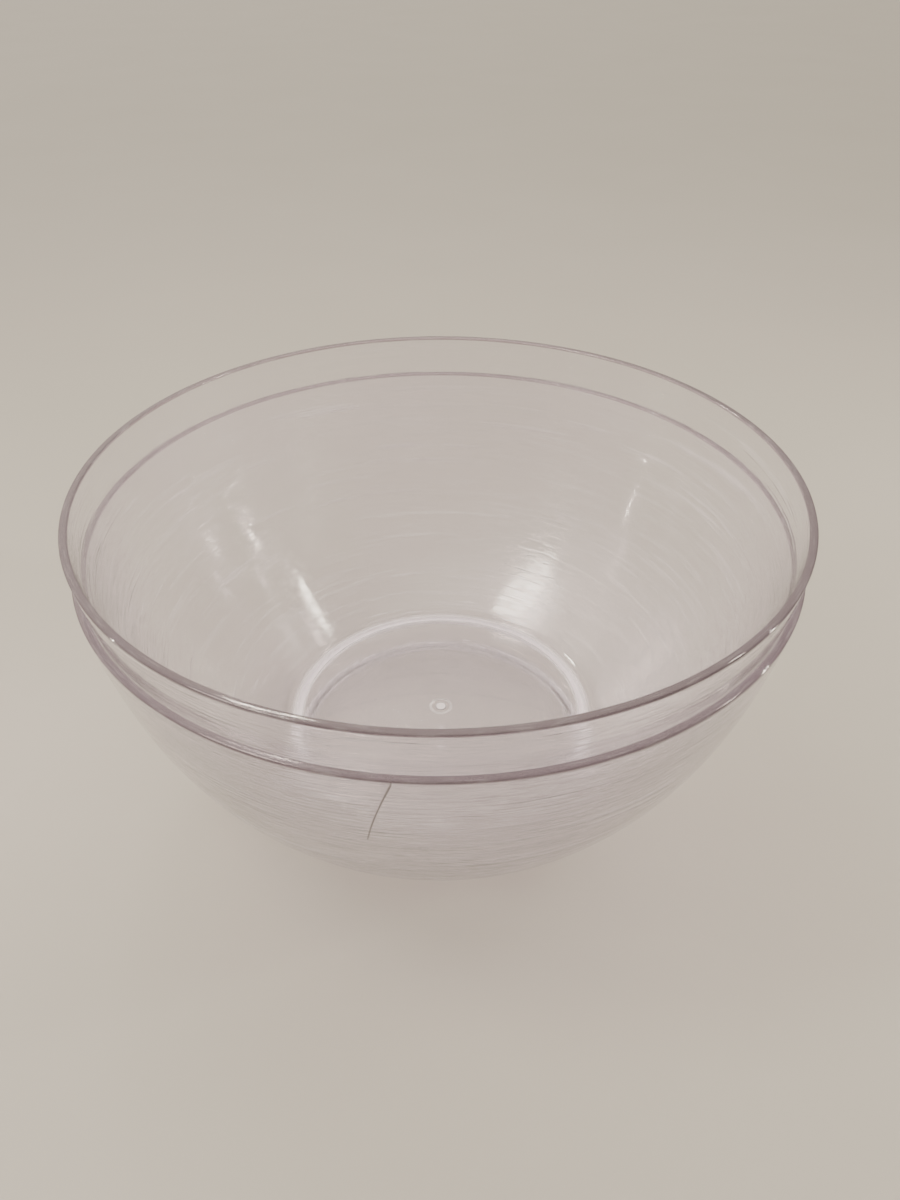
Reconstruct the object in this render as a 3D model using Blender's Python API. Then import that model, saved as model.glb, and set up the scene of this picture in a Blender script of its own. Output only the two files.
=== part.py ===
"""Nested pair of clear moulded serving bowls.

Both bowls come from one mould. The upper bowl hangs inside the lower one: its wall meets the lower
bowl's rim, so the two rims stand one stacking step apart. Units are metres and +Z is up. The origin is
the centre of the lower bowl's foot, on the surface that the pair stands on.
"""
import math

import bmesh
import bpy

# Outside of one bowl
RIM_RADIUS = 0.140
BOWL_HEIGHT = 0.127
BODY_START_RADIUS = 0.0712      # where the curved wall leaves the level underside
START_SLOPE = math.radians(34.8)
RIM_SLOPE = math.radians(81.0)
START_HANDLE = 0.0640           # reach of the wall curve's lower control point
RIM_HANDLE = 0.0360             # reach of its upper control point

# Thickness
WALL_THICKNESS = 0.0024
RIM_THICKNESS = 0.0030
FLOOR_THICKNESS = 0.0026
RIM_ROUNDING = 0.0007

# Foot: a narrow rib under the floor
FOOT_HEIGHT = 0.0025
FOOT_INNER_RADIUS = 0.0642
FOOT_OUTER_RADIUS = 0.0668
FOOT_ROUNDING = 0.0005

# Moulding gate: a nub in a shallow dimple, in the middle of the underside
NUB_RADIUS = 0.0022
NUB_DROP = 0.0004
DIMPLE_RADIUS = 0.0047
DIMPLE_DEPTH = 0.0004

# Nesting
STACK_STEP = 0.0187

# Mesh resolution
SEGMENTS = 64
WALL_STEPS = 11
CORNER_STEPS = 2

CLEAR_PLASTIC = (0.90, 0.87, 0.94, 1.0)
PLASTIC_IOR = 1.57


def clear_scene():
    """Remove every object that the scene starts with."""
    for obj in list(bpy.data.objects):
        bpy.data.objects.remove(obj, do_unlink=True)


def outer_wall(t):
    """Point and tangent angle on the outer wall; t runs from 0 at the foot to 1 at the rim."""
    x0, z0 = BODY_START_RADIUS, FOOT_HEIGHT
    x3, z3 = RIM_RADIUS, BOWL_HEIGHT - RIM_ROUNDING
    x1 = x0 + START_HANDLE * math.cos(START_SLOPE)
    z1 = z0 + START_HANDLE * math.sin(START_SLOPE)
    x2 = x3 - RIM_HANDLE * math.cos(RIM_SLOPE)
    z2 = z3 - RIM_HANDLE * math.sin(RIM_SLOPE)
    s = 1.0 - t
    x = s**3 * x0 + 3 * s * s * t * x1 + 3 * s * t * t * x2 + t**3 * x3
    z = s**3 * z0 + 3 * s * s * t * z1 + 3 * s * t * t * z2 + t**3 * z3
    dx = s * s * (x1 - x0) + 2 * s * t * (x2 - x1) + t * t * (x3 - x2)
    dz = s * s * (z1 - z0) + 2 * s * t * (z2 - z1) + t * t * (z3 - z2)
    return x, z, math.atan2(dz, dx)


def inner_wall(t):
    """Point on the inner wall, square across the wall from outer_wall(t) and level with it at the rim."""
    x, z, angle = outer_wall(t)
    toward_rim = t**6
    thickness = WALL_THICKNESS + (RIM_THICKNESS - WALL_THICKNESS) * toward_rim
    angle += (math.pi / 2 - angle) * toward_rim
    return x - thickness * math.sin(angle), z + thickness * math.cos(angle)


def corner(x, z, radius, start, end):
    """Points of a rounded corner about the centre (x, z), with angles in degrees."""
    points = []
    for i in range(CORNER_STEPS + 1):
        angle = math.radians(start + (end - start) * i / CORNER_STEPS)
        points.append((x + radius * math.cos(angle), z + radius * math.sin(angle)))
    return points


def underside():
    """Gate nub, dimple and foot rib, from the axis outward."""
    level = FOOT_HEIGHT
    points = [(0.0, level - NUB_DROP), (0.7 * NUB_RADIUS, level - NUB_DROP)]
    points += [(NUB_RADIUS, level + DIMPLE_DEPTH), (0.9 * DIMPLE_RADIUS, level + DIMPLE_DEPTH)]
    points += [(DIMPLE_RADIUS, level), (FOOT_INNER_RADIUS, level)]
    points += corner(FOOT_INNER_RADIUS + FOOT_ROUNDING, FOOT_ROUNDING, FOOT_ROUNDING, 180, 270)
    points += corner(FOOT_OUTER_RADIUS - FOOT_ROUNDING, FOOT_ROUNDING, FOOT_ROUNDING, 270, 360)
    points.append((FOOT_OUTER_RADIUS, level))
    return points


def rim():
    """Flat rim edge with both corners rounded, from the outside to the inside."""
    centre_z = BOWL_HEIGHT - RIM_ROUNDING
    inside = RIM_RADIUS - RIM_THICKNESS
    points = corner(RIM_RADIUS - RIM_ROUNDING, centre_z, RIM_ROUNDING, 0, 90)
    points += corner(inside + RIM_ROUNDING, centre_z, RIM_ROUNDING, 90, 180)
    return points


def inside():
    """Inner wall from just under the rim to the floor's edge, then the floor's centre."""
    floor_z = FOOT_HEIGHT + FLOOR_THICKNESS
    points = [inner_wall(i / WALL_STEPS) for i in range(WALL_STEPS - 1, -1, -1)]
    above = [point for point in points if point[1] > floor_z]
    last = above[-1]
    below = points[len(above)]
    share = (last[1] - floor_z) / (last[1] - below[1])
    floor_edge = last[0] + share * (below[0] - last[0])
    return above + [(floor_edge, floor_z), (0.0, floor_z)]


def bowl_section():
    """Whole half section of a bowl, from the axis underneath to the axis inside."""
    wall = [outer_wall(i / WALL_STEPS)[:2] for i in range(WALL_STEPS)]
    return underside() + wall + rim() + inside()


def turned_mesh(name, section):
    """Turn a half section about Z into one closed mesh."""
    bm = bmesh.new()
    verts = [bm.verts.new((x, 0.0, z)) for x, z in section]
    edges = [bm.edges.new(pair) for pair in zip(verts, verts[1:])]
    bmesh.ops.spin(
        bm, geom=verts + edges, cent=(0, 0, 0), axis=(0, 0, 1),
        angle=2 * math.pi, steps=SEGMENTS, use_merge=True,
    )
    bmesh.ops.remove_doubles(bm, verts=bm.verts, dist=1e-6)
    bmesh.ops.recalc_face_normals(bm, faces=bm.faces)
    mesh = bpy.data.meshes.new(name)
    bm.to_mesh(mesh)
    bm.free()
    mesh.shade_smooth()
    mesh.set_sharp_from_angle(angle=math.radians(35))
    return mesh


def clear_plastic(name):
    """Glossy see-through plastic with a faint lavender tint."""
    material = bpy.data.materials.new(name)
    material.use_nodes = True
    shader = material.node_tree.nodes["Principled BSDF"]
    shader.inputs["Base Color"].default_value = CLEAR_PLASTIC
    shader.inputs["Roughness"].default_value = 0.04
    shader.inputs["Metallic"].default_value = 0.0
    shader.inputs["IOR"].default_value = PLASTIC_IOR
    shader.inputs["Transmission Weight"].default_value = 1.0
    return material


def add_bowl(name, height):
    """One bowl with its foot at the given height."""
    bowl = bpy.data.objects.new(name, turned_mesh(name, bowl_section()))
    bowl.location.z = height
    bowl.data.materials.append(clear_plastic(name + "_plastic"))
    bpy.context.scene.collection.objects.link(bowl)
    return bowl


def main():
    clear_scene()
    add_bowl("lower_bowl", 0.0)
    add_bowl("upper_bowl", STACK_STEP)


main()
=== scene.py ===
"""Looks of the nested clear bowls: fine turned meshes, scuffed clear plastic and a plain studio."""
import math
from types import SimpleNamespace

import bmesh
import bpy
from mathutils import Matrix, Vector


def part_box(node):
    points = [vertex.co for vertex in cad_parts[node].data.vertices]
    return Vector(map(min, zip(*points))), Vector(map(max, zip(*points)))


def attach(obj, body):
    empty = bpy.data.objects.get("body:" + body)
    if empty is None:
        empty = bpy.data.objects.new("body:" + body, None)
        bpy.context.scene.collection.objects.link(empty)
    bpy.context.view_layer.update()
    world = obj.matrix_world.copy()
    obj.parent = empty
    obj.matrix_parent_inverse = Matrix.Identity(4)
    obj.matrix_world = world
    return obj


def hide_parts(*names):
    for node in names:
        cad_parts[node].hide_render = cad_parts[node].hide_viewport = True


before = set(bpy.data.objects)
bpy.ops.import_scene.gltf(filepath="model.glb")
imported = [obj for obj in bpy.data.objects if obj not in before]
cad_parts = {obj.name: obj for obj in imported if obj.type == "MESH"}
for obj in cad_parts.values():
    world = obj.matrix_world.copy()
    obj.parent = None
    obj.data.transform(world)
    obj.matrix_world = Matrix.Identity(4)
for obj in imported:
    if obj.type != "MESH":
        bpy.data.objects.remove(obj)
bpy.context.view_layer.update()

# Section of one bowl in metres, the same design as the frame's bowls
BODY_START_RADIUS = 0.0712
START_SLOPE = math.radians(34.8)
RIM_SLOPE = math.radians(81.0)
START_HANDLE = 0.0640
RIM_HANDLE = 0.0360
WALL_THICKNESS = 0.0024
RIM_THICKNESS = 0.0030
FLOOR_THICKNESS = 0.0026
RIM_ROUNDING = 0.0007
FOOT_HEIGHT = 0.0025
FOOT_INNER_RADIUS = 0.0642
FOOT_OUTER_RADIUS = 0.0668
FOOT_ROUNDING = 0.0005
FILLET = 0.0008
FLOOR_BLEND = 0.0020
NUB_RADIUS = 0.0022
NUB_DROP = 0.0003
DIMPLE_RADIUS = 0.0047
DIMPLE_DEPTH = 0.0002

# Mesh resolution
SEGMENTS = 288
WALL_STEPS = 72
CORNER_STEPS = 6

# Plastic
PLASTIC_IOR = 1.57
LAVENDER = (0.62, 0.45, 0.80, 1.0)
TINT_PER_METRE = 12.0
PALE_TINT = (0.997, 0.986, 0.996, 1.0)
DEEP_TINT = (0.990, 0.970, 0.990, 1.0)
# Painted shade: the rim edge is coloured dark mauve in place of the tint that refraction and the long way
# through the rim give
RIM_SHADE_MAUVE = (0.32, 0.245, 0.300, 1.0)
# Painted highlight and glow: the foot rib and a band beside it are coloured white for the light its corners
# catch
FOOT_HIGHLIGHT_WHITE = (0.99, 0.97, 0.99, 1.0)
# Painted glints: pale flecks on the rim's nicks
RIM_NICK_GLINT = (0.80, 0.74, 0.80, 1.0)
SHADOW_TINT = (0.76, 0.750, 0.755, 1.0)
SCRATCH_DEPTH = 0.000020
WAVE_HEIGHT = 0.00005
CRACK_BROWN = (0.16, 0.13, 0.13, 1.0)

# Scratches that run round the axis: turns sets their length, pitch their width in metres
FINE_TURNS, FINE_PITCH = 7.0, 0.00070
STREAK_TURNS, STREAK_PITCH = 2.6, 0.0013
RING_TURNS, RING_PITCH = 1.6, 0.0034
NICK_TURNS, NICK_PITCH = 16.0, 0.00070

# Scratches in arcs round centres beside the axis: each centre with its arcs' width
ARC_TURNS = 5.0
ARC_CENTRES = (((0.030, 0.022, 0.0), 0.00060), ((-0.024, -0.036, 0.0), 0.00075))

# Depth of the other marks, as shares of a fine scratch's
ARC_DEPTH, PATCH_ARC_DEPTH, RING_DEPTH, NICK_DEPTH = 0.5, 2.0, 2.0, 0.8

# Roughness and milkiness of clean plastic, of the rim edge, whose milk is part of its painted shade, and of
# the frosted foot with its painted highlight and glow, and what wear adds to them
CLEAN_ROUGHNESS, RIM_ROUGHNESS, FROST_ROUGHNESS = 0.015, 0.07, 0.45
CLEAN_MILK, RIM_SHADE_MILK, FROST_AND_GLOW_MILK = 0.06, 0.32, 0.95
ADDED_ROUGHNESS = {"fine": 0.05, "arcs": 0.08, "cloud": 0.04}
# Milk on streaks and rings is partly painted glints, white lines where lamp light catches the scratches
ADDED_MILK_AND_GLINTS = {"cloud": 0.15, "streaks": 0.80, "rings": 1.70, "fine": 0.30}

# The dulled patch on the lower wall: what it adds by itself, and for each arc across it; its milk is partly
# painted glare from a lamp spread over the scuffs
PATCH_CENTRE = (0.047, 0.077, 0.020)
PATCH_ROUGHNESS, PATCH_ARC_ROUGHNESS = 0.08, 0.20
PATCH_MILK_AND_GLARE, PATCH_ARC_MILK_AND_GLARE = 0.3, 2.5

# Painted glow in a soft band beside the foot rib, and a faint white line round the gate mark
GLOW_BAND_RADIUS, GLOW_BAND_STRENGTH = 0.0660, 0.80
GATE_LINE_STRENGTH = 0.24
NICK_GLINT_STRENGTH = 0.30

# Studio: floor and light
WARM_LIGHT = (1.0, 0.895, 0.75, 1.0)
FLOOR_TONES = ((0.42, 0.400, 0.365, 1.0), (0.45, 0.430, 0.395, 1.0))
SKY_EDGE = 0.36
SKY_LOBE = 1.7
SKY_TOWARD = Vector((-0.30, 0.28, 0.91)).normalized()
FLOOR_RADIUS = 8.0
FLOOR_ROUGHNESS = 0.55

# Lamps: place, width and height of the ellipse in metres, turn about its own axis in degrees, watts
LAMPS = {
    "left_lamp": ((-0.34, -0.12, 0.60), (0.13, 0.28), 0, 1.9),
    "right_lamp": ((0.56, 0.05, 0.60), (0.04, 0.24), -45, 1.2),
    "left_low_lamp": ((-0.90, -0.05, 0.27), (0.02, 0.06), 0, 2.4),
    "right_low_lamp": ((0.87, 0.03, 0.36), (0.04, 0.08), 0, 3.5),
    "back_lamp": ((-0.24, 0.60, 0.85), (0.12, 0.06), 0, 1.2),
}
LAMP_AIM = Vector((0.0, 0.0, 0.07))

# Camera: place over the foot's centre in metres, its angles in degrees, its lens and sensor in millimetres
CAMERA_PLACE = (0.0006, -0.3172, 0.3264)
CAMERA_TILT, CAMERA_HEADING, CAMERA_ROLL = 37.32, 0.64, 0.18
CAMERA_LENS, CAMERA_SENSOR = 28.1, 36.0

low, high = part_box("lower_bowl")
RIM_RADIUS = high.x
BOWL_HEIGHT = high.z - low.z


# ---------------------------------------------------------------- geometry

def outer_wall(t):
    """Point and tangent angle on the outer wall; t runs from 0 at the foot to 1 at the rim."""
    x0, z0 = BODY_START_RADIUS, FOOT_HEIGHT
    x3, z3 = RIM_RADIUS, BOWL_HEIGHT - RIM_ROUNDING
    x1 = x0 + START_HANDLE * math.cos(START_SLOPE)
    z1 = z0 + START_HANDLE * math.sin(START_SLOPE)
    x2 = x3 - RIM_HANDLE * math.cos(RIM_SLOPE)
    z2 = z3 - RIM_HANDLE * math.sin(RIM_SLOPE)
    s = 1.0 - t
    x = s**3 * x0 + 3 * s * s * t * x1 + 3 * s * t * t * x2 + t**3 * x3
    z = s**3 * z0 + 3 * s * s * t * z1 + 3 * s * t * t * z2 + t**3 * z3
    dx = s * s * (x1 - x0) + 2 * s * t * (x2 - x1) + t * t * (x3 - x2)
    dz = s * s * (z1 - z0) + 2 * s * t * (z2 - z1) + t * t * (z3 - z2)
    return x, z, math.atan2(dz, dx)


def inner_wall(t):
    """Point on the inner wall, square across the wall from outer_wall(t) and level with it at the rim."""
    x, z, angle = outer_wall(t)
    toward_rim = t**6
    thickness = WALL_THICKNESS + (RIM_THICKNESS - WALL_THICKNESS) * toward_rim
    angle += (math.pi / 2 - angle) * toward_rim
    return x - thickness * math.sin(angle), z + thickness * math.cos(angle)


def corner(x, z, radius, start, end):
    """Points of a rounded corner about the centre (x, z), with angles in degrees."""
    points = []
    for i in range(CORNER_STEPS + 1):
        angle = math.radians(start + (end - start) * i / CORNER_STEPS)
        points.append((x + radius * math.cos(angle), z + radius * math.sin(angle)))
    return points


def eased(before, at, after, reach):
    """Round the corner at a point: a short curve that starts and ends reach away from it."""
    start = at + (before - at).normalized() * reach
    end = at + (after - at).normalized() * reach
    points = []
    for i in range(CORNER_STEPS + 1):
        t = i / CORNER_STEPS
        point = start * (1 - t) ** 2 + at * (2 * t * (1 - t)) + end * t**2
        points.append((point.x, point.y))
    return points


def gate_mark():
    """Nub in a shallow dimple, as a smooth wave from the axis outward."""
    points = []
    steps = 4 * CORNER_STEPS
    for i in range(steps + 1):
        r = DIMPLE_RADIUS * 1.15 * i / steps
        nub = NUB_DROP + DIMPLE_DEPTH
        nub *= 1.0 / (1.0 + math.exp((r - NUB_RADIUS) / (0.08 * NUB_RADIUS)))
        dimple = DIMPLE_DEPTH / (1.0 + math.exp((r - DIMPLE_RADIUS) / (0.05 * DIMPLE_RADIUS)))
        points.append((r, FOOT_HEIGHT + dimple - nub))
    return points


def underside():
    """Gate mark, level underside and foot rib, from the axis outward."""
    level = FOOT_HEIGHT
    points = gate_mark()
    points += [(0.5 * FOOT_INNER_RADIUS, level)]
    centre = Vector((FOOT_INNER_RADIUS, level))
    points += eased(centre - Vector((1, 0)), centre, centre - Vector((0, 1)), FILLET)
    points += corner(FOOT_INNER_RADIUS + FOOT_ROUNDING, FOOT_ROUNDING, FOOT_ROUNDING, 180, 270)
    points += corner(FOOT_OUTER_RADIUS - FOOT_ROUNDING, FOOT_ROUNDING, FOOT_ROUNDING, 270, 360)
    centre = Vector((FOOT_OUTER_RADIUS, level))
    points += eased(centre - Vector((0, 1)), centre, centre + Vector((1, 0)), FILLET)
    return points


def rim():
    """Flat rim edge with both corners rounded, from the outside to the inside."""
    centre_z = BOWL_HEIGHT - RIM_ROUNDING
    inside_radius = RIM_RADIUS - RIM_THICKNESS
    points = corner(RIM_RADIUS - RIM_ROUNDING, centre_z, RIM_ROUNDING, 0, 90)
    points += corner(inside_radius + RIM_ROUNDING, centre_z, RIM_ROUNDING, 90, 180)
    return points


def inside():
    """Inner wall down from the rim, a small blend into the floor, and the floor."""
    floor_z = FOOT_HEIGHT + FLOOR_THICKNESS
    wall = [inner_wall(i / WALL_STEPS) for i in range(WALL_STEPS - 1, -1, -1)]
    above = [Vector(point) for point in wall if point[1] > floor_z]
    last, below = above[-1], Vector(wall[len(above)])
    share = (last.y - floor_z) / (last.y - below.y)
    edge = last.lerp(below, share)
    clear = [point for point in above if (point - edge).length > 1.5 * FLOOR_BLEND]
    points = [(point.x, point.y) for point in clear]
    points += eased(clear[-1], edge, edge - Vector((1, 0)), FLOOR_BLEND)
    points += [(edge.x * share_in, floor_z) for share_in in (0.9, 0.7, 0.5, 0.3, 0.1, 0.0)]
    return points


def bowl_section():
    """Whole half section of a bowl, from the axis underneath to the axis inside."""
    start = Vector((BODY_START_RADIUS, FOOT_HEIGHT))
    wall = [outer_wall(i / WALL_STEPS)[:2] for i in range(2, WALL_STEPS)]
    turn = eased(start - Vector((1, 0)), start, Vector(wall[0]), 2 * FILLET)
    return underside() + turn + wall + rim() + inside()


def turned_mesh(name, section):
    """Turn a half section about Z into one closed mesh that stands on its own origin."""
    bm = bmesh.new()
    verts = [bm.verts.new((x, 0.0, z)) for x, z in section]
    edges = [bm.edges.new(pair) for pair in zip(verts, verts[1:])]
    bmesh.ops.spin(
        bm, geom=verts + edges, cent=(0, 0, 0), axis=(0, 0, 1),
        angle=2 * math.pi, steps=SEGMENTS, use_merge=True,
    )
    bmesh.ops.remove_doubles(bm, verts=bm.verts, dist=1e-6)
    bmesh.ops.recalc_face_normals(bm, faces=bm.faces)
    mesh = bpy.data.meshes.new(name)
    bm.to_mesh(mesh)
    bm.free()
    mesh.shade_smooth()
    return mesh


# ---------------------------------------------------------------- materials

class Nodes:
    """Short calls for building one material's nodes."""

    def __init__(self, material):
        self.tree = material.node_tree
        self.shader = self.tree.nodes["Principled BSDF"]
        self.output = self.tree.nodes["Material Output"]

    def add(self, kind, inputs=None, **settings):
        """A new node with its settings and inputs; an input is a value or another node's socket."""
        node = self.tree.nodes.new(kind)
        for key, value in settings.items():
            setattr(node, key, value)
        for key, value in (inputs or {}).items():
            self.feed(node.inputs[key], value)
        return node

    def feed(self, socket, value):
        if isinstance(value, bpy.types.NodeSocket):
            self.tree.links.new(value, socket)
        else:
            socket.default_value = value

    def math(self, operation, *values, clamp=False):
        inputs = dict(enumerate(values))
        return self.add("ShaderNodeMath", inputs, operation=operation, use_clamp=clamp).outputs[0]

    def ramp(self, value, low_end, high_end, to_low=0.0, to_high=1.0):
        inputs = {0: value, 1: low_end, 2: high_end, 3: to_low, 4: to_high}
        node = self.add("ShaderNodeMapRange", inputs, interpolation_type="SMOOTHSTEP")
        return node.outputs[0]

    def vector(self, x, y, z):
        return self.add("ShaderNodeCombineXYZ", {0: x, 1: y, 2: z}).outputs[0]

    def noise(self, vector, scale, detail=2.0, roughness=0.5):
        inputs = {"Vector": vector, "Scale": scale, "Detail": detail, "Roughness": roughness}
        return self.add("ShaderNodeTexNoise", inputs).outputs[0]


def round_axis(n, x, y):
    """Distance from the axis of the point (x, y), and the unit direction out to it."""
    radius = n.math("SQRT", n.math("ADD", n.math("MULTIPLY", x, x), n.math("MULTIPLY", y, y)))
    safe = n.math("MAXIMUM", radius, 0.0005)
    return radius, n.math("DIVIDE", x, safe), n.math("DIVIDE", y, safe)


def bowl_coordinates(n, seed):
    """Where a surface point is: its position, radius and height, its way round and its run down the wall."""
    point = n.add("ShaderNodeTexCoord").outputs["Object"]
    x, y, height = n.add("ShaderNodeSeparateXYZ", {0: point}).outputs
    radius, across, along = round_axis(n, x, y)
    run = n.math("ADD", n.math("ADD", radius, height), seed)
    return SimpleNamespace(
        point=point, radius=radius, height=height, across=across, along=along, run=run,
    )


def turning_scratches(n, run, across, along, turns, pitch):
    """Noise drawn out round the bowl: turns sets a scratch's length and pitch its width in metres."""
    vector = n.vector(
        n.math("MULTIPLY", across, turns), n.math("MULTIPLY", along, turns),
        n.math("MULTIPLY", run, 1.0 / pitch),
    )
    return n.noise(vector, 1.0, detail=2.0)


def off_centre_scratches(n, point, centre, pitch):
    """Long thin arcs about a centre beside the axis, as a spoon or a scourer leaves them."""
    offset = n.add("ShaderNodeVectorMath", {0: point, 1: centre}, operation="SUBTRACT").outputs[0]
    x, y, z = n.add("ShaderNodeSeparateXYZ", {0: offset}).outputs
    radius, across, along = round_axis(n, x, y)
    lines = turning_scratches(n, n.math("ADD", radius, z), across, along, ARC_TURNS, pitch)
    return n.ramp(lines, 0.66, 0.72)


def scuffed_patch(n, point):
    """1 where years of stirring have dulled the lower wall, easing to 0 round the patch."""
    away = n.add("ShaderNodeVectorMath", {0: point, 1: PATCH_CENTRE}, operation="DISTANCE")
    ragged = n.math("MULTIPLY_ADD", n.noise(point, 60.0, detail=3.0), 0.020, away.outputs["Value"])
    return n.ramp(ragged, 0.014, 0.038, 1.0, 0.0)


def wear_patterns(n, at):
    """The wear on a bowl, each pattern from 0 to 1."""

    def turning(turns, pitch, low_end, high_end):
        """Scratches that start where the noise passes low_end and are full at high_end."""
        lines = turning_scratches(n, at.run, at.across, at.along, turns, pitch)
        return n.ramp(lines, low_end, high_end)

    cloud = n.ramp(n.noise(at.point, 12.0, detail=2.0), 0.36, 0.66)
    uneven = n.math("MULTIPLY_ADD", cloud, 0.65, 0.35)
    arcs = [off_centre_scratches(n, at.point, centre, pitch) for centre, pitch in ARC_CENTRES]
    return SimpleNamespace(
        cloud=cloud,
        fine=n.math("MULTIPLY", turning(FINE_TURNS, FINE_PITCH, 0.54, 0.70), uneven),
        streaks=turning(STREAK_TURNS, STREAK_PITCH, 0.54, 0.74),
        rings=turning(RING_TURNS, RING_PITCH, 0.64, 0.72),
        nicks=turning(NICK_TURNS, NICK_PITCH, 0.50, 0.70),
        arcs=n.math("MAXIMUM", *arcs),
        scuffed=scuffed_patch(n, at.point),
    )


def rim_mask(n, at):
    """1 on the rim edge, 0 below it."""
    return n.ramp(at.height, BOWL_HEIGHT - 0.0013, BOWL_HEIGHT - 0.0007)


def frost_and_painted_glow_mask(n, at):
    """Where the base is painted white: the foot rib as painted highlight, a soft band beside it as painted
    glow, the gate nub and a faint line round its dimple.
    """
    # Painted highlight: the underside of the foot rib turns white
    foot = n.ramp(at.height, 0.0016, 0.0024, 1.0, 0.0)
    from_rib = n.math("ABSOLUTE", n.math("SUBTRACT", at.radius, GLOW_BAND_RADIUS))
    # Painted glow: a soft band beside the rib
    glow_band = n.ramp(from_rib, 0.0012, 0.0038, GLOW_BAND_STRENGTH, 0.0)
    glow_band = n.math("MULTIPLY", glow_band, n.ramp(at.height, 0.0030, 0.0052, 1.0, 0.0))
    nub = n.ramp(at.radius, 0.0018, 0.0026, 1.0, 0.0)
    nub = n.math("MULTIPLY", nub, n.ramp(at.height, 0.0024, 0.0030, 1.0, 0.0))
    from_dimple = n.math("ABSOLUTE", n.math("SUBTRACT", at.radius, DIMPLE_RADIUS))
    line = n.ramp(from_dimple, 0.0003, 0.0010, GATE_LINE_STRENGTH, 0.0)
    line = n.math("MULTIPLY", line, n.ramp(at.height, 0.003, 0.004, 1.0, 0.0))
    return n.math("MAXIMUM", n.math("MAXIMUM", foot, nub), n.math("MAXIMUM", line, glow_band))


def tinted(n, colour, factor, to):
    """The colour, mixed towards another by a factor."""
    mix = n.add("ShaderNodeMix", {"Factor": factor}, data_type="RGBA")
    n.feed(mix.inputs["A"], colour)
    mix.inputs["B"].default_value = to
    return mix.outputs["Result"]


def eased_to(n, value, factor, to):
    """The value, mixed towards another by a factor."""
    return n.math("MULTIPLY_ADD", factor, n.math("SUBTRACT", to, value), value)


def with_added(n, value, wear, amounts):
    """The value with an amount of each named wear pattern added."""
    for pattern, amount in amounts.items():
        value = n.math("MULTIPLY_ADD", getattr(wear, pattern), amount, value)
    return value


def roughness_of(n, wear, rim_edge, frost_and_painted_glow):
    """Nearly smooth plastic, rougher on scratches, on the patch, at the rim and on frost."""
    value = with_added(n, CLEAN_ROUGHNESS, wear, ADDED_ROUGHNESS)
    patch = n.math("MULTIPLY_ADD", wear.arcs, PATCH_ARC_ROUGHNESS, PATCH_ROUGHNESS)
    value = n.math("MULTIPLY_ADD", wear.scuffed, patch, value)
    value = eased_to(n, value, rim_edge, RIM_ROUGHNESS)
    return eased_to(n, value, frost_and_painted_glow, FROST_ROUGHNESS)


def milk_and_painted_light_of(n, at, wear, rim_edge, frost_and_painted_glow, haze):
    """How much of the plastic is white rather than clear, partly painted light: shade on the rim edge,
    highlight and glow on the foot, glints on streaks, rings and the patch; haze scales the wear on the
    walls.
    """
    value = with_added(n, CLEAN_MILK, wear, ADDED_MILK_AND_GLINTS)
    patch = n.math("MULTIPLY_ADD", wear.arcs, PATCH_ARC_MILK_AND_GLARE, PATCH_MILK_AND_GLARE)
    value = n.math("MULTIPLY_ADD", wear.scuffed, patch, value)
    on_wall = n.ramp(at.radius, 0.068, 0.084, 0.30, 1.0)
    value = n.math("MULTIPLY", n.math("MULTIPLY", value, on_wall), haze)
    value = eased_to(n, value, rim_edge, RIM_SHADE_MILK)
    return eased_to(n, value, frost_and_painted_glow, FROST_AND_GLOW_MILK)


def colour_of(n, wear, rim_edge, frost_and_painted_glow):
    """Nearly white, with the rim edge painted dark mauve as painted shade, pale flecks on its nicks as
    painted glints, and the foot painted white as painted highlight and glow.
    """
    colour = tinted(n, PALE_TINT, wear.cloud, DEEP_TINT)
    # Painted shade on the rim edge
    colour = tinted(n, colour, rim_edge, RIM_SHADE_MAUVE)
    # Painted glints on the rim's nicks
    nick_glints = n.math("MULTIPLY", rim_edge, n.math("MULTIPLY", wear.nicks, NICK_GLINT_STRENGTH))
    colour = tinted(n, colour, nick_glints, RIM_NICK_GLINT)
    # Painted highlight and glow on the foot
    return tinted(n, colour, frost_and_painted_glow, FOOT_HIGHLIGHT_WHITE)


def relief_of(n, at, wear, rim_edge):
    """Normal of a slightly wavy surface with fine scratches cut in it."""
    waves = n.add("ShaderNodeBump", {"Height": n.noise(at.point, 30.0, detail=1.0)})
    waves.inputs["Strength"].default_value = 1.0
    waves.inputs["Distance"].default_value = WAVE_HEIGHT
    arc_depth = n.math("MULTIPLY_ADD", wear.scuffed, PATCH_ARC_DEPTH, ARC_DEPTH)
    depth = n.math("MULTIPLY_ADD", wear.arcs, arc_depth, wear.fine)
    depth = n.math("ADD", wear.streaks, depth)
    depth = n.math("MULTIPLY_ADD", wear.rings, RING_DEPTH, depth)
    depth = n.math("MULTIPLY_ADD", n.math("MULTIPLY", wear.nicks, rim_edge), NICK_DEPTH, depth)
    bump = n.add("ShaderNodeBump", {"Height": depth, "Normal": waves.outputs["Normal"]})
    bump.inputs["Strength"].default_value = 1.0
    bump.inputs["Distance"].default_value = SCRATCH_DEPTH
    return bump.outputs["Normal"]


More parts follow.
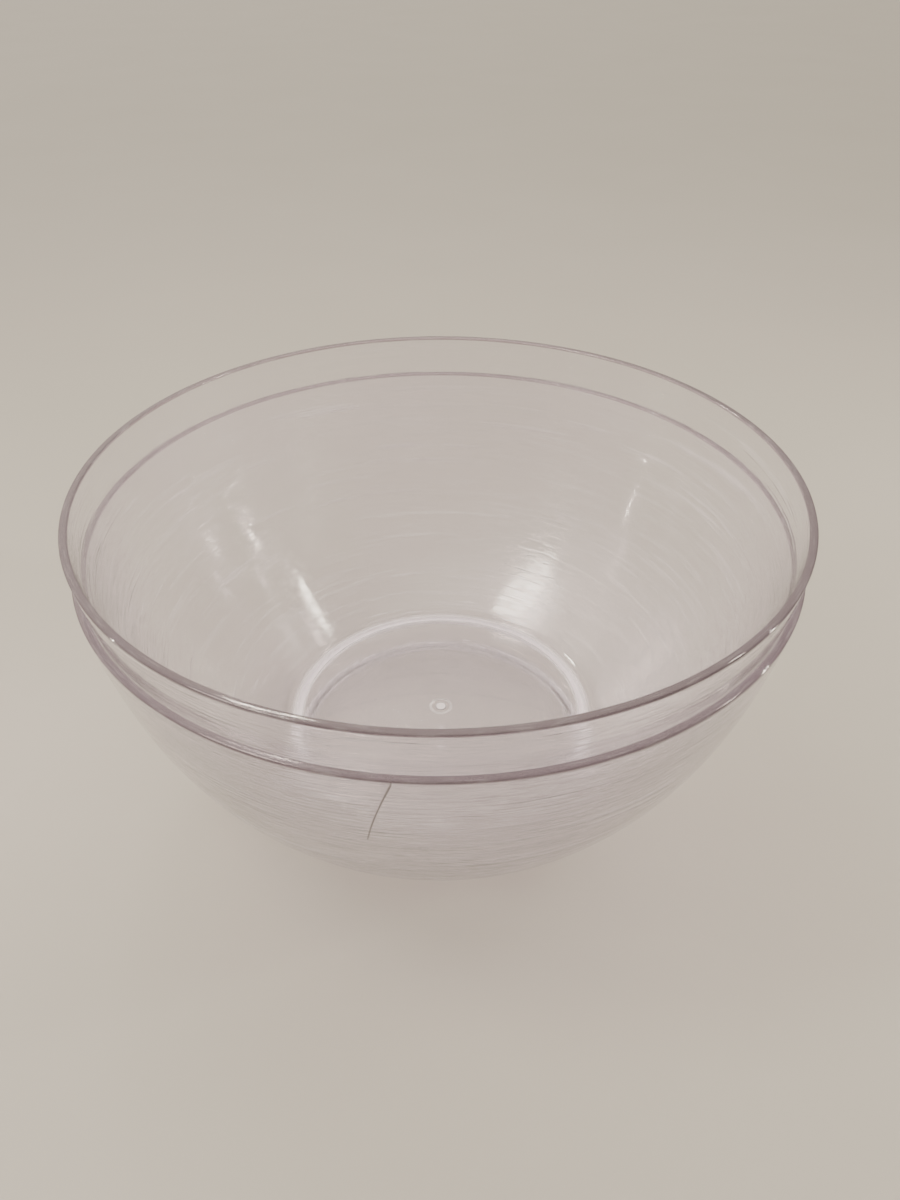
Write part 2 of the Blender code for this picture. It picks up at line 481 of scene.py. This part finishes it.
def hairline(n, at):
    """A dark hairline crack that leans down the front of the wall."""
    top, bottom = 0.1255, 0.0880
    bearing, lean, curl = math.radians(-5.6), 2.7, 16.0
    turn = n.math("ARCTAN2", at.across, n.math("MULTIPLY", at.along, -1.0))
    down = n.math("SUBTRACT", top, at.height)
    bend = n.math("MULTIPLY", n.math("MULTIPLY", down, down), curl)
    place = n.math("SUBTRACT", bearing, n.math("MULTIPLY", down, lean))
    place = n.math("ADD", place, bend)
    gap = n.math("ABSOLUTE", n.math("SUBTRACT", turn, place))
    line = n.ramp(gap, 0.0008, 0.0026, 1.0, 0.0)
    line = n.math("MULTIPLY", line, n.ramp(at.height, bottom, bottom + 0.006, 0.0, 0.90))
    return n.math("MULTIPLY", line, n.ramp(at.height, top - 0.001, top, 1.0, 0.0))


def tint_inside(n):
    """Lavender that deepens with the way through the plastic."""
    absorb = n.add("ShaderNodeVolumeAbsorption")
    absorb.inputs["Color"].default_value = LAVENDER
    absorb.inputs["Density"].default_value = TINT_PER_METRE
    n.feed(n.output.inputs["Volume"], absorb.outputs["Volume"])


def let_light_through(n):
    """Lamps and sky shine through the walls, so that the bowls don't cast a solid shadow."""
    passing = n.add("ShaderNodeBsdfTransparent")
    passing.inputs["Color"].default_value = SHADOW_TINT
    mix = n.add("ShaderNodeMixShader", {0: n.add("ShaderNodeLightPath").outputs["Is Shadow Ray"]})
    n.feed(mix.inputs[1], n.shader.outputs["BSDF"])
    n.feed(mix.inputs[2], passing.outputs["BSDF"])
    n.feed(n.output.inputs["Surface"], mix.outputs["Shader"])


def clear_plastic(name, haze, seed, crack=False):
    """Clear lavender plastic: turning scratches, a milky haze with painted glints, a rim edge painted mauve
    as painted shade, and a foot painted white as painted highlight and glow.
    """
    material = bpy.data.materials.new(name)
    material.use_nodes = True
    n = Nodes(material)
    at = bowl_coordinates(n, seed)
    wear = wear_patterns(n, at)
    rim_edge, frost_and_painted_glow = rim_mask(n, at), frost_and_painted_glow_mask(n, at)
    milk = milk_and_painted_light_of(n, at, wear, rim_edge, frost_and_painted_glow, haze)
    clearness = n.math("SUBTRACT", 1.0, milk, clamp=True)
    colour = colour_of(n, wear, rim_edge, frost_and_painted_glow)
    if crack:
        line = hairline(n, at)
        colour = tinted(n, colour, line, CRACK_BROWN)
        clearness = n.math("MULTIPLY", clearness, n.math("SUBTRACT", 1.0, line))
    n.feed(n.shader.inputs["Base Color"], colour)
    n.feed(n.shader.inputs["Transmission Weight"], clearness)
    n.feed(n.shader.inputs["Roughness"], roughness_of(n, wear, rim_edge, frost_and_painted_glow))
    n.feed(n.shader.inputs["Normal"], relief_of(n, at, wear, rim_edge))
    n.shader.inputs["IOR"].default_value = PLASTIC_IOR
    tint_inside(n)
    let_light_through(n)
    return material


def floor_material():
    """Pale matte studio floor with a very faint mottle."""
    material = bpy.data.materials.new("studio_floor")
    material.use_nodes = True
    n = Nodes(material)
    point = n.add("ShaderNodeTexCoord").outputs["Object"]
    mottle = n.noise(point, 6.0, detail=3.0)
    mix = n.add("ShaderNodeMix", {"Factor": mottle}, data_type="RGBA")
    mix.inputs["A"].default_value, mix.inputs["B"].default_value = FLOOR_TONES
    n.feed(n.shader.inputs["Base Color"], mix.outputs["Result"])
    n.shader.inputs["Roughness"].default_value = FLOOR_ROUGHNESS
    return material


# ---------------------------------------------------------------- object

def add_bowl(node, haze, seed, crack=False):
    """A fine bowl in place of a frame node, riding on the body of the same name."""
    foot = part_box(node)[0].z
    name = node + "_moulding"
    bowl = bpy.data.objects.new(name, turned_mesh(name, bowl_section()))
    bowl.location.z = foot
    bpy.context.scene.collection.objects.link(bowl)
    bowl.data.materials.append(clear_plastic(node + "_plastic", haze, seed, crack))
    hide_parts(node)
    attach(bowl, node)
    return bowl


# ---------------------------------------------------------------- studio

def add_floor():
    """Wide round floor that runs out to the horizon in every view."""
    bm = bmesh.new()
    bmesh.ops.create_circle(bm, cap_ends=True, segments=96, radius=FLOOR_RADIUS)
    mesh = bpy.data.meshes.new("studio_floor")
    bm.to_mesh(mesh)
    bm.free()
    floor = bpy.data.objects.new("studio_floor", mesh)
    floor.data.materials.append(floor_material())
    bpy.context.scene.collection.objects.link(floor)


def add_sky():
    """Soft light from all round, with one broad feathered lobe of light from above and a little left."""
    world = bpy.data.worlds.new("studio_light")
    world.use_nodes = True
    tree = world.node_tree
    direction = tree.nodes.new("ShaderNodeTexCoord").outputs["Generated"]
    toward = tree.nodes.new("ShaderNodeVectorMath")
    toward.operation = "DOT_PRODUCT"
    toward.inputs[1].default_value = SKY_TOWARD
    tree.links.new(direction, toward.inputs[0])
    lobe = tree.nodes.new("ShaderNodeMapRange")
    lobe.interpolation_type = "SMOOTHSTEP"
    for key, value in enumerate((0.15, 1.0, SKY_EDGE, SKY_EDGE + SKY_LOBE), start=1):
        lobe.inputs[key].default_value = value
    tree.links.new(toward.outputs["Value"], lobe.inputs[0])
    back = tree.nodes["Background"]
    back.inputs["Color"].default_value = WARM_LIGHT
    tree.links.new(lobe.outputs[0], back.inputs["Strength"])
    bpy.context.scene.world = world


def add_lamps():
    """Small lamps: two each side for the glints on the walls, and one behind for the rims."""
    for name, (place, size, spin, power) in LAMPS.items():
        data = bpy.data.lights.new(name, "AREA")
        data.shape = "ELLIPSE"
        data.size, data.size_y = size
        data.energy = power
        data.color = WARM_LIGHT[:3]
        lamp = bpy.data.objects.new(name, data)
        lamp.location = place
        aim = LAMP_AIM - Vector(place)
        facing = aim.to_track_quat("-Z", "Y").to_matrix() @ Matrix.Rotation(math.radians(spin), 3, "Z")
        lamp.rotation_euler = facing.to_euler()
        lamp.visible_camera = False
        bpy.context.scene.collection.objects.link(lamp)


def add_camera():
    """Camera at the photograph's height, tilt and lens."""
    data = bpy.data.cameras.new("camera")
    data.lens = CAMERA_LENS
    data.sensor_width = CAMERA_SENSOR
    camera = bpy.data.objects.new("camera", data)
    turn = Matrix.Rotation(math.radians(-CAMERA_HEADING), 4, "Z")
    turn = turn @ Matrix.Rotation(math.radians(90.0 - CAMERA_TILT), 4, "X")
    turn = turn @ Matrix.Rotation(math.radians(CAMERA_ROLL), 4, "Z")
    camera.matrix_world = Matrix.Translation(CAMERA_PLACE) @ turn
    bpy.context.scene.collection.objects.link(camera)
    bpy.context.scene.camera = camera


add_camera()
add_floor()
add_sky()
add_lamps()
add_bowl("lower_bowl", haze=0.12, seed=0.35, crack=True)
add_bowl("upper_bowl", haze=0.042, seed=0.0)
